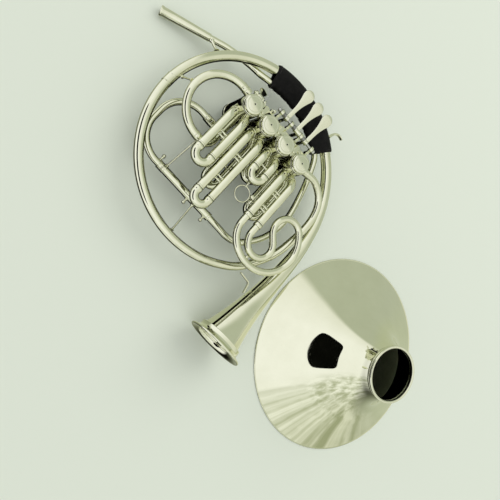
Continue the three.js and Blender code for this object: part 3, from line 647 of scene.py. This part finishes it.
def main_slide():
    """The main tuning slide across the ring, and the two sleeves that it runs in."""
    side, top, bottom, mouth, corner, leg, cuff_r = -120, 10.3, -82, -68, 40, 28, 5.5
    run = mouth - GAP - 6.2 - side - corner
    route = (Route(mouth + leg, top, LOW_Z, 180, LEG_R).forward(leg + GAP).width(cuff_r)
             .forward(5).width(LEG_R + 0.1).forward(run).turn(corner, 90)
             .forward(top - bottom - 2 * corner).turn(corner, 90).forward(run)
             .width(cuff_r).forward(5).width(LEG_R).forward(leg + GAP))
    shape = Shape().tube(route.stations, sides=36)
    for y in (top, bottom):
        shape.ferrule(Station((mouth - 3.4, y, LOW_Z), (1, 0, 0), cuff_r), 5.4, 0.5)
    knob_x = side + corner + 4
    shape.stay((knob_x, bottom + 4.6, LOW_Z), (knob_x, bottom + 11, LOW_Z), 1.4, 2.4)
    shape.ball((knob_x, bottom + 12.2, LOW_Z), 2.4)
    shape.done("main_tuning_slide", NICKEL, "main_slide", ["main_tuning_slide"], bevel=0.12)

    def collars(tube, y, places):
        for x in places:
            tube.ferrule(Station((x, y, LOW_Z), (1, 0, 0), MAIN_SLEEVE_R), 4.2, 0.5)

    lower = Route(mouth, bottom, LOW_Z, 0, MAIN_SLEEVE_R).forward(90)
    tube = Shape().tube(lower.stations, MAIN_SLEEVE_BORE)
    collars(tube, bottom, (mouth + 2, mouth + 45, mouth + 88))
    for x in (-17, 16):
        tube.turned([[2.6, 0], [2.6, 1.2], [1.5, 2], [1.5, 4.2], [2.5, 5], [2.5, 7.4], [1.8, 8.2],
                     [0, 8.4]], (x, bottom - 4.9, LOW_Z), (0, -1, 0), 24)
    tube.done("main_sleeve_lower", NICKEL, "horn_body", ["main_sleeve_lower"], bevel=0.12)

    upper = Route(mouth, top, LOW_Z, 0, MAIN_SLEEVE_R).forward(36).turn(13, 90).forward(9)
    tube = Shape().tube(upper.stations, MAIN_SLEEVE_BORE)
    collars(tube, top, (mouth + 2, mouth + 32))
    tube.done("main_sleeve_upper", NICKEL, "horn_body", ["main_sleeve_upper"], bevel=0.12)


def front_crook():
    """The thumb valve's crook, round and under the slides."""
    route = (Route(VALVE_X["thumb"] - 11, 60, FRONT_Z - 3, 180, 5.5).forward(11)
             .turn(44.3, 180, -11).forward(8).turn(14, 90, -4).forward(50))
    stations = route.stations
    bend_steps = 36
    tube = Shape().tube(stations, sides=36)
    tube.ferrule(stations[0].moved(5.2), 5, 0.6)
    tube.ferrule(stations[1].moved(0.5), 4, 0.4)
    tube.ferrule(stations[1 + bend_steps].moved(2), 5, 0.45)
    tube.done("front_crook", NICKEL, "horn_body", ["front_crook"], bevel=0.12)


# ---- levers and linkage ------------------------------------------------------------------------
# Across the valves: each link rod, the arm that drives it, the paddle, and the axle's posts.
ROD_X = {"thumb": -40.71, "first": -7.31, "second": 26.09, "third": 40.71}
ARM_X = {"thumb": -44.41, "first": -3.61, "second": 22.39, "third": 37.01}
PADDLE_X = {"thumb": -44.41, "first": -4, "second": 17, "third": 38}
POSTS_X = [-14, 6.5, 27.5, 51]


def teardrop(reach, tip):
    """The outline of a lever's paddle, from the axle to the fingertip."""
    neck, steps = 3.0, 24
    right = [(2.2, 0)]
    for k in range(steps + 1):
        f = k / steps
        widening = max(0, (f - 0.25) / 0.75) ** 2.2
        right.append((neck + (tip - neck) * widening, reach * 0.93 * f))
    left = [(-x, y) for x, y in reversed(right)]
    for k in range(1, steps):
        angle = radians(-22 + 224 * k / steps)
        right.append((tip * cos(angle), reach + tip * sin(angle)))
    return right + left


def paddle(shape, x, reach, tip, thick, tilt, y, z):
    """A paddle with a slightly crowned face and rounded edges."""
    place = Matrix.Translation((x, y, z)) @ Matrix.Rotation(radians(tilt), 4, "X")
    outline = teardrop(reach, tip)
    layers = [(0.93, 0.0), (1.0, 0.35), (1.0, thick - 0.5), (0.95, thick - 0.06),
              (0.7, thick + 0.22), (0.3, thick + 0.34)]
    loops = []
    for scale, height in layers:
        loop = []
        for px, py in outline:
            spine = Vector((0, min(max(py, 3.0), reach)))
            edge = Vector((px, py)) - spine
            flat = spine + edge * scale
            loop.append(place @ Vector((flat.x, flat.y, height)))
        loops.append(loop)
    shape.loft(loops)


def coil(shape, x, y, z, radius, turns, pitch, wire):
    """A coil spring round the axle."""
    steps = round(turns * 20)
    line = []
    for k in range(steps + 1):
        a = 2 * pi * k / 20
        line.append(Vector((x + pitch * k / 20, y + radius * cos(a), z + radius * sin(a))))
    stations = [Station(p, q - p, wire) for p, q in zip(line, line[1:])]
    loops = []
    for s in stations:
        side = s.along.cross(Vector((1, 0, 0.001))).normalized()
        rise = side.cross(s.along)
        loops.append([s.at + side * wire * cos(pi * k / 4) + rise * wire * sin(pi * k / 4)
                      for k in range(8)])
    shape.loft(loops)


def drive_arm(shape, arm, rod, axle_z, clear):
    """The arm below a lever, with the pin at its foot that the link rod's eye is on."""
    shape.block((arm - 1.5, arm + 1.5), (AXLE_Y - 2.3, AXLE_Y + 2.3), (6, axle_z - clear))
    shape.bar((arm - 1.6, AXLE_Y, ROD_Z), (arm + 1.6, AXLE_Y, ROD_Z), 3, 24)
    way = 1 if rod > arm else -1
    shape.bar((arm, AXLE_Y, ROD_Z), (rod + way * 1.9, AXLE_Y, ROD_Z), 1.1, 16)
    return way


def finger_lever(name):
    x, arm, rod = PADDLE_X[name], ARM_X[name], ROD_X[name]
    low, long = min(x, arm) - 2.5, abs(x - arm) + 5
    shape = Shape()
    shape.turned([[2.3, 0], [3.9, 0], [4.3, 0.5], [4.3, 1.6], [3.7, 2.1], [3.7, long - 2.1],
                  [4.3, long - 1.6], [4.3, long - 0.5], [3.9, long], [2.3, long], [2.3, 0]],
                 (low, AXLE_Y, AXLE_Z), (1, 0, 0), 32)
    paddle(shape, x, 43.5, 8.2, 2, 9, AXLE_Y, AXLE_Z + 0.5)
    way = drive_arm(shape, arm, rod, AXLE_Z, 2.6)
    shape.turned([[0, 0], [1.7, 0], [1.7, 0.5], [1, 0.9], [0, 1]],
                 (rod + way * 1.9, AXLE_Y, ROD_Z), (way, 0, 0), 16)
    shape.done(f"{name}_lever", CAPS, f"{name}_key", [f"{name}_lever"], bevel=0.25)
    spring = Shape()
    coil(spring, low - 4.4, AXLE_Y, AXLE_Z, 3.1, 3.5, 1.15, 0.42)
    spring.done(f"{name}_lever_spring", STEEL, f"{name}_key")


def thumb_lever():
    arm, rod = ARM_X["thumb"], ROD_X["thumb"]
    shape = Shape()
    shape.bar((arm - 5, AXLE_Y, THUMB_AXLE_Z), (arm + 5, AXLE_Y, THUMB_AXLE_Z), 4.2, 32)
    shape.bar((arm - 11.5, AXLE_Y, THUMB_AXLE_Z), (arm + 11.5, AXLE_Y, THUMB_AXLE_Z), 2, 24)
    drive_arm(shape, arm, rod, THUMB_AXLE_Z, 2)
    paddle(shape, arm, 20, 6.5, 2.2, -38, AXLE_Y, THUMB_AXLE_Z)
    shape.done("thumb_lever", CAPS, "thumb_key", ["thumb_lever"], bevel=0.25)


def link_rod(name):
    """A rod with an eye on the lever's pin and one round the stop arm's pin."""
    x = ROD_X[name]
    far = VALVE_Y + (-1 if name == "thumb" else 1) * PIN_ORBIT * sin(radians(45))
    shape = Shape()
    shape.turned([[1.45, -1.6], [2.4, -1.6], [2.8, -1.1], [2.8, 1.1], [2.4, 1.6], [1.45, 1.6],
                  [1.45, -1.6]], (x, AXLE_Y, ROD_Z), (1, 0, 0), 28)
    shape.bar((x, AXLE_Y - 2.5, ROD_Z), (x, far + 4.8, ROD_Z), 1.1, 16)
    for y in (AXLE_Y - 8, far + 6):
        shape.turned([[1.1, 0], [1.7, 0.6], [1.7, 4], [1.1, 4.6]], (x, y, ROD_Z), (0, 1, 0), 12)
    shape.turned([[3.6, -1.1], [5, -1.1], [5.2, -0.8], [5.2, 0.8], [5, 1.1], [3.6, 1.1],
                  [3.6, -1.1]], (x, far, ROD_Z), UP, 32)
    shape.done(f"{name}_link_rod", STEEL, f"{name}_rod", [f"{name}_link_rod"], bevel=0.15)


def lever_frame():
    """What the levers are hung on: the finger levers' rail and axle, and the thumb's bracket."""
    rail = Shape()
    rail.block((-37.5, 57), (62.6, 71), (57, 60))
    for x in POSTS_X:
        rail.block((x - 1.8, x + 1.8), (68, 75.4), (57.4, 67))
        rail.turned([[2.3, -2.2], [4, -2.2], [4.4, -1.8], [4.4, 1.8], [4, 2.2], [2.3, 2.2],
                     [2.3, -2.2]], (x, AXLE_Y, AXLE_Z), (1, 0, 0), 28)
        rail.block((x - 1.8, x + 1.8), (72, 76), (62, 69))
    for x in BRIDGES_X:
        rail.block((x - 2.6, x + 2.6), (52.5, 64), (57.4, 75))
    for x in (-10, 16, 44):
        rail.turned([[0, 60], [2.4, 60], [2.4, 61.4], [1.8, 62], [0, 62]],
                    (x, 66.5, 0), UP, 24)
    rail.done("lever_bracket", NICKEL, "horn_body", ["lever_bracket"], bevel=0.4)

    axle = Shape()
    start, stop = POSTS_X[0] - 4, POSTS_X[3] + 4
    axle.bar((start, AXLE_Y, AXLE_Z), (stop, AXLE_Y, AXLE_Z), 2, 28)
    for x, way in ((start, -1), (stop, 1)):
        axle.turned([[0, -1.2], [2.2, -1.2], [3, -0.4], [3, 1.4], [2.3, 2.4], [1.2, 3], [0, 3.1]],
                    (x, AXLE_Y, AXLE_Z), (way, 0, 0), 28)
    axle.done("lever_axle", STEEL, "horn_body", ["lever_axle"], bevel=0.15)

    arm = ARM_X["thumb"]
    cheeks = Shape()
    for side in (-1, 1):
        x = arm + side * 8
        cheeks.block((x - 1.5, x + 1.5), (62, 76.6), (THUMB_AXLE_Z - 3.4, THUMB_AXLE_Z + 3.6))
        cheeks.turned([[2.4, -1.7], [4, -1.7], [4, 1.7], [2.4, 1.7], [2.4, -1.7]],
                      (x, AXLE_Y, THUMB_AXLE_Z), (1, 0, 0), 28)
    cheeks.block((arm - 9.4, arm + 9.4), (62, 70.6), (THUMB_AXLE_Z + 0.8, THUMB_AXLE_Z + 3.8))
    cheeks.done("thumb_bracket", NICKEL, "horn_body", ["thumb_bracket"], bevel=0.4)


# ---- stays, hook and pull ring -----------------------------------------------------------------
def stays():
    bars = {
        "slide_stay": ((-65, -76, 25.5), (-65, -33.2, 49), 1.3),
        "ring_stay": ((-6, -132.8, 37), (-6, -88, 26), 1.3),
        "crook_stay": ((-131.8, 14, 39), (-121.6, 14, 54.5), 1.2),
    }
    for name, (start, stop, radius) in bars.items():
        Shape().stay(start, stop, radius, 2.6).done(name, NICKEL, "horn_body", [name], bevel=0.1)
    start, stop = Vector((-138.6, 88.9, 21.5)), Vector((-125.2, 77.6, 33.8))
    length = (stop - start).length
    strut = [[3.6, 0], [3.4, 0.8], [2.4, 2.2], [2, 4], [1.8, length / 2], [2, length - 4],
             [2.6, length - 2], [3.8, length - 0.7], [4, length]]
    Shape().turned(strut, start, stop - start, 32).done(
        "leadpipe_strut", NICKEL, "horn_body", ["leadpipe_strut"], bevel=0.1)

    course = [(105, -105.6), (114, -106.7), (122.4, -107.8), (124.6, -110.2), (126, -116),
              (127.8, -123.5)]
    strip = [(-0.9, -2), (0.9, -2), (0.9, 2), (-0.9, 2)]
    loops = []
    for s in smooth([(x, y, 37) for x, y in course], 1.2, lambda f: 1):
        side, rise = across(s.along)
        loops.append([s.at + side * a + rise * b for a, b in strip])
    Shape().loft(loops).done("tail_stay", NICKEL, "horn_body", ["tail_stay"], bevel=0.3)


def pinky_hook():
    place = Matrix.Rotation(radians(62), 4, "Z") @ Matrix.Translation((RING_R + 10.6, 0, RING_Z))
    spine = [(-0.8, 0.5), (3, 1.6), (8, 2.6), (13.5, 2.4), (18, 0), (20.6, -4), (21.6, -7.4)]
    line = smooth([(x, y, 0) for x, y in spine], 0.8, lambda f: 1)
    loops = []
    for i, s in enumerate(line):
        side, _ = across(s.along)
        f = i / (len(line) - 1)
        wide, thick = 4.5 - 1.0 * f, 2.2 - 0.9 * f
        corners = [(cos(2 * pi * k / 16) * thick, sin(2 * pi * k / 16) * wide) for k in range(16)]
        loops.append([place @ (s.at + side * a + UP * b) for a, b in corners])
    hook = Shape().loft(loops)
    hook.ball(place @ Vector((*spine[-1], 0)), 1.5, UP, 2.2)
    hook.done("pinky_hook", NICKEL, "horn_body", ["pinky_hook"])


def pull_ring():
    """The wire ring soldered to the second slide's bow."""
    _, _, _, apart, ferrule, _ = SLIDES["second"]
    bottom = ferrule - FERRULE_RUN - apart / 2 - SLEEVE_R - 1.2
    ring = Shape().hoop((23, bottom - 16.5, 62), UP, 11, 0.9, 72, 14)
    ring.turned([[1.9, 0], [1.9, 1], [1.3, 1.6], [1.3, 6.2]], (19, bottom - 0.1, 65),
                (0.16, -1, -0.5), 20)
    ring.done("second_pull_ring", NICKEL, "second_tuning_slide", ["second_pull_ring"])


def small_screws():
    """The lug beside the second slide, the screws by the thumb cap and the wire at the guard."""
    extras = Shape()
    extras.turned([[0, 0], [2.4, 0], [2.4, 1.2], [1.6, 2], [1.6, 4], [2.6, 5], [2.6, 7], [0, 7.6]],
                  (36, -31, 58), UP, 24)
    extras.turned([[0, 0], [2.2, 0], [2.2, 5], [1.5, 6], [0, 6.2]], (-24, 66, 70), UP, 24)
    extras.turned([[0, 0], [2.2, 0], [2.2, 1.4], [1.4, 2.2], [0, 2.4]], (-24, 66, 76), UP, 24)
    extras.block((-27, -21), (62.8, 69.5), (59.9, 70.5))
    extras.done("small_screws", NICKEL, "horn_body", bevel=0.2)

    course = [(-46, 93, 58), (-43, 88, 60), (-41, 84, 60.5), (-39.8, 77, 60.5), (-39.5, 71, 60.2)]
    wire = Shape().tube(smooth(course, 1.2, lambda f: 0.55), sides=12)
    wire.done("guard_wire", STEEL, "horn_body")


# ---- flare -------------------------------------------------------------------------------------
def flare():
    # The first point lies past the rim and only keeps the curve straight up to it.
    profile = [(168, -7.6), (153.4, 1.7), (131, 16.5), (107, 33.5), (84, 51.3), (65.5, 69.8),
               (52.5, 88), (44, 105), (39.3, 118.2)]
    rim_top = 1.6
    line = smooth([(r, 0, z) for r, z in profile], 2.5, lambda f: 1)
    outside = [[s.at.x, s.at.z] for s in line if s.at.z > rim_top]
    inside = [[r - 0.6, z - 0.9] for r, z in outside]
    rim = [[152.6, 0.35], [153.6, 0.05], [154.5, 0.2], [155, 0.9], [154.8, 1.7], [154.1, 2.1]]
    sheet = rim + outside + inside[::-1] + rim[:1]
    Shape().turned(sheet, segments=256).done(
        "bell_flare", FLARE, "flare", ["bell_flare"], base=LOOSE, smooth=50)
    low = 118.85
    ring = [[36.9, low], [39.2, low], [39.9, low + 0.5], [39.9, low + 2.6], [39.3, low + 3.2],
            [39.4, 121], [39.9, 122.4], [40.6, 123.4], [40.9, 124.2], [40.9, 126], [40.3, 126.7],
            [38.4, 126.7], [37.4, 126.2], [36.9, 125], [36.9, low]]
    Shape().turned(ring, segments=128).done(
        "flare_screw_ring", CAPS, "flare", ["flare_screw_ring"], base=LOOSE, bevel=0.2)


# ---- assembly ----------------------------------------------------------------------------------
bell_branch()
bell_tail()
leadpipe()
hand_guard()
for valve_name in VALVES:
    valve(valve_name)
    link_rod(valve_name)
cap_links()
for slide_name in SLIDES:
    sleeves(slide_name)
    if slide_name == "third":
        third_slide()
    else:
        u_slide(slide_name)
main_slide()
front_crook()
for lever_name in VALVES[1:]:
    finger_lever(lever_name)
thumb_lever()
lever_frame()
stays()
pinky_hook()
pull_ring()
small_screws()
flare()


# ---- stage -------------------------------------------------------------------------------------
def plain(name, color, rough=0.6):
    material = bpy.data.materials.new(name)
    material.use_nodes = True
    shader = material.node_tree.nodes["Principled BSDF"]
    shader.inputs["Base Color"].default_value = (*color, 1)
    shader.inputs["Roughness"].default_value = rough
    return material


def turned_to(at, direction):
    """A placement at a point, with its own Z along the direction."""
    return (Matrix.Translation(at)
            @ Vector(direction).to_track_quat("Z", "Y").to_matrix().to_4x4())


def staged(name, points, faces, material):
    """A stage object, which belongs to the picture and not to the horn."""
    mesh = bpy.data.meshes.new(name)
    mesh.from_pydata(points, [], faces)
    mesh.materials.append(material)
    item = bpy.data.objects.new(name, mesh)
    bpy.context.scene.collection.objects.link(item)
    return item


def mirrored_only(item):
    item.visible_camera = item.visible_diffuse = item.visible_shadow = False


def card(name, at, size, facing, material, square=0.5):
    """A card that only shows in reflections; square is 0 for sharp corners and 1 for a disc."""
    sides = 48

    def half(span, wave):
        return span / 2 * abs(wave) ** square * (1 if wave > 0 else -1)

    turns = [2 * pi * (k + 0.5) / sides for k in range(sides)]
    rim = [(half(size[0], cos(a)), half(size[1], sin(a)), 0) for a in turns]
    item = staged(name, rim, [tuple(range(sides))], material)
    item.matrix_world = turned_to(at, Vector(facing) - Vector(at))
    mirrored_only(item)
    return item


far = 30
floor = staged("floor", [(-far, -far, 0), (far, -far, 0), (far, far, 0), (-far, far, 0)],
               [(0, 1, 2, 3)], plain("pale floor", (0.74, 0.785, 0.70), 0.9))
floor.visible_glossy = False  # the mats and the room stand in for it in the metal


def room():
    """What the metal mirrors: a round backdrop that only reflections see. It is bright overhead,
    tan beyond the flare and, low down, dark on the photographer's side."""
    glow, radius = Nodes("room glow", None), 3
    dome = Shape()
    dome.turned([[radius * cos(radians(a)), radius * sin(radians(a))] for a in range(-88, 90, 4)])
    item = staged("room", dome.points, dome.faces, glow.material)
    item.data.polygons.foreach_set("use_smooth", [True] * len(item.data.polygons))
    mirrored_only(item)
    way = glow.add("VectorMath", operation="NORMALIZE")
    glow.link(glow.place, way.inputs[0])

    def toward(x, y, z, start, stop):
        """How far a direction leans this way, from 0 to 1."""
        dot = glow.add("VectorMath", operation="DOT_PRODUCT")
        glow.link(way.outputs[0], dot.inputs[0])
        dot.inputs[1].default_value = (x, y, z)
        lean = glow.add("MapRange", interpolation_type="SMOOTHSTEP")
        lean.inputs[1].default_value, lean.inputs[2].default_value = start, stop
        glow.link(dot.outputs["Value"], lean.inputs[0])
        return lean.outputs[0]

    def mix(factor, a, b, how="MIX"):
        node = glow.add("Mix", data_type="RGBA", blend_type=how)
        if factor is None:
            node.inputs[0].default_value = 1
        else:
            glow.link(factor, node.inputs[0])
        glow.link(a, node.inputs[6])
        if isinstance(b, tuple):
            node.inputs[7].default_value = (*b, 1)
        else:
            glow.link(b, node.inputs[7])
        return node.outputs[2]

    low = glow.tint(toward(0.75, 0.45, 0, -1, 1), (0.006, 0.006, 0.004), (0.56, 0.6, 0.44),
                    0.08, 0.72)
    high = glow.tint(toward(-1, 0, 0, -1, 1), (0.86, 0.87, 0.78), (1.16, 1.16, 1.2), 0.2, 0.8)
    high = mix(toward(0.82, 0.56, 0.1, 0.5, 0.62), high, (0.56, 0.6, 0.5))
    # A crumpled backdrop behind the flare's near side.
    folds = glow.tint(glow.noise(2.6, 5, 0.55), (0.5, 0.53, 0.4), (0.98, 0.99, 0.95), 0.36, 0.62)
    high = mix(toward(-0.1, -1, -0.25, 0.3, 0.75), high, mix(None, high, folds, "MULTIPLY"))
    shade = mix(toward(0, 0, 1, -0.38, -0.06), low, high)
    put = glow.shader.inputs
    put["Base Color"].default_value = (0, 0, 0, 1)
    put["Specular IOR Level"].default_value = 0
    put["Emission Strength"].default_value = 1
    glow.link(shade, put["Emission Color"])


room()
black = plain("black card", (0.004, 0.004, 0.0035), 0.9)
black.node_tree.nodes["Principled BSDF"].inputs["Specular IOR Level"].default_value = 0
card("photographer", Vector((-1.2, 0.23, 1.01)), (1.75, 0.75), (0.03, -0.17, 0.06), black, 0.4)


def disc(name, at, lift, wide):
    return card(name, at + UP * lift, (wide, wide), at + UP, black, 1)


# The mats draw the dark lines along the tubes' lower sides. The flag isn't mirrored, and only
# keeps light out of the throat.
disc("mat under horn", HORN_AT, 0.0006, 0.262)
disc("mat under flare", FLARE_AT, 0.0006, 0.28)
flag = disc("flag in the throat", FLARE_AT, 0.1262, 0.073)
flag.visible_glossy, flag.visible_diffuse, flag.visible_shadow = False, True, True

world = bpy.data.worlds.new("studio")
bpy.context.scene.world = world
world.use_nodes = True
sky = world.node_tree.nodes["Background"]
sky.inputs["Color"].default_value = (0.86, 0.88, 0.84, 1)
sky.inputs["Strength"].default_value = 0.92

softbox = bpy.data.lights.new("main softbox", "AREA")
softbox.shape, softbox.size, softbox.size_y, softbox.energy = "RECTANGLE", 3.6, 3.6, 46
softbox.color = (1, 0.995, 0.94)
lamp, lamp_at = bpy.data.objects.new("main softbox", softbox), (2.2, 1.7, 3.2)
bpy.context.scene.collection.objects.link(lamp)
lamp.matrix_world = turned_to(lamp_at, lamp_at)
lamp.visible_glossy = False

camera_data = bpy.data.cameras.new("camera")
camera_data.lens, camera_data.sensor_width = 36, 36
camera = bpy.data.objects.new("camera", camera_data)
bpy.context.scene.collection.objects.link(camera)
camera_at = (-0.40299, 0.04504, 0.649)
right, upward, forward = (0.8890, 0, 0.4580), (0.0258, 0.9984, -0.0501), (0.4573, -0.0563, -0.8875)
basis = Matrix((right, upward, -Vector(forward))).transposed().to_4x4()
camera.matrix_world = Matrix.Translation(camera_at) @ basis
bpy.context.scene.camera = camera
bpy.context.scene.view_settings.view_transform = "Standard"
